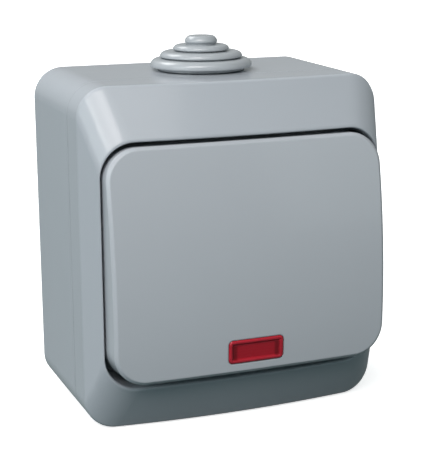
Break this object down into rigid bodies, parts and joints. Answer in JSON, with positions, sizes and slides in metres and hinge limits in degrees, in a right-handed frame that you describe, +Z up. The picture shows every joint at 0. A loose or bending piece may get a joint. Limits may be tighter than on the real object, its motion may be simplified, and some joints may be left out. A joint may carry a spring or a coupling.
{
  "type": "outdoor weatherproof rocker switch",
  "caption": "Surface-mounted weatherproof rocker switch in a bevelled grey housing with a red indicator lens in the rocker and a stepped cable gland on top.",
  "frame": {"origin": "centre of the housing's flat back, on the wall plane, at mid height and mid width", "axes": "+Z up, +X to the right as seen from the front, +Y into the wall"},
  "size_m": [0.0726, 0.0516, 0.0866],
  "materials": {
    "grey_gloss": "bluish grey moulded plastic, glossy",
    "grey_rubber": "light grey elastomer, satin",
    "black_rubber": "black rubber, matt",
    "white_insulator": "off-white moulded insulator",
    "dark_insulator": "dark moulded insulator",
    "brass": "stamped brass",
    "contact_silver": "silver contact tip",
    "plated_steel": "zinc plated steel",
    "spring_steel": "spring steel wire",
    "lamp_glass": "clear glass envelope",
    "red_lens": "translucent red plastic"
  },
  "bodies": {
    "housing": {"front_cover": "grey_gloss", "rear_box": "grey_gloss", "seam_gasket": "black_rubber", "cable_gland": "grey_rubber", "window_gasket": "black_rubber", "support_frame": "white_insulator", "contact_housing": "white_insulator", "common_terminal": "brass", "upper_terminal": "brass", "lower_terminal": "brass", "fixed_contacts": "contact_silver", "terminal_screws": "plated_steel", "frame_screws": "plated_steel", "cover_screw_seals": "black_rubber", "cover_screws": "plated_steel", "lamp_socket": "white_insulator", "neon_lamp": "lamp_glass", "lamp_leads": "plated_steel"},
    "rocker_group": {"rocker": "grey_gloss", "indicator_lens": "red_lens", "rocker_yoke": "dark_insulator", "plunger_spring": "spring_steel"},
    "plunger_group": {"plunger": "dark_insulator"},
    "blade_group": {"contact_blade": "brass", "blade_contacts": "contact_silver"}
  },
  "joints": [
    {"name": "rocker_tilt", "type": "hinge", "parent": "housing", "child": "rocker_group", "pos_m": [0, -0.038, 0], "axis": [1, 0, 0], "range_deg": [0, 9.7]},
    {"name": "blade_swing", "type": "hinge", "parent": "housing", "child": "blade_group", "pos_m": [0, -0.022, 0], "axis": [1, 0, 0], "range_deg": [-12, 0]},
    {"name": "plunger_slide", "type": "slide", "parent": "rocker_group", "child": "plunger_group", "axis": [0, 0.9964, -0.0845], "range_m": [-0.0008, 0], "stiffness_N_per_m": 300, "springref_m": 0.004, "deforming": ["plunger_spring"]}
  ],
  "couplings": [
    {"joint": "blade_swing", "follows": "rocker_tilt", "ratio": -1.2371}
  ]
}
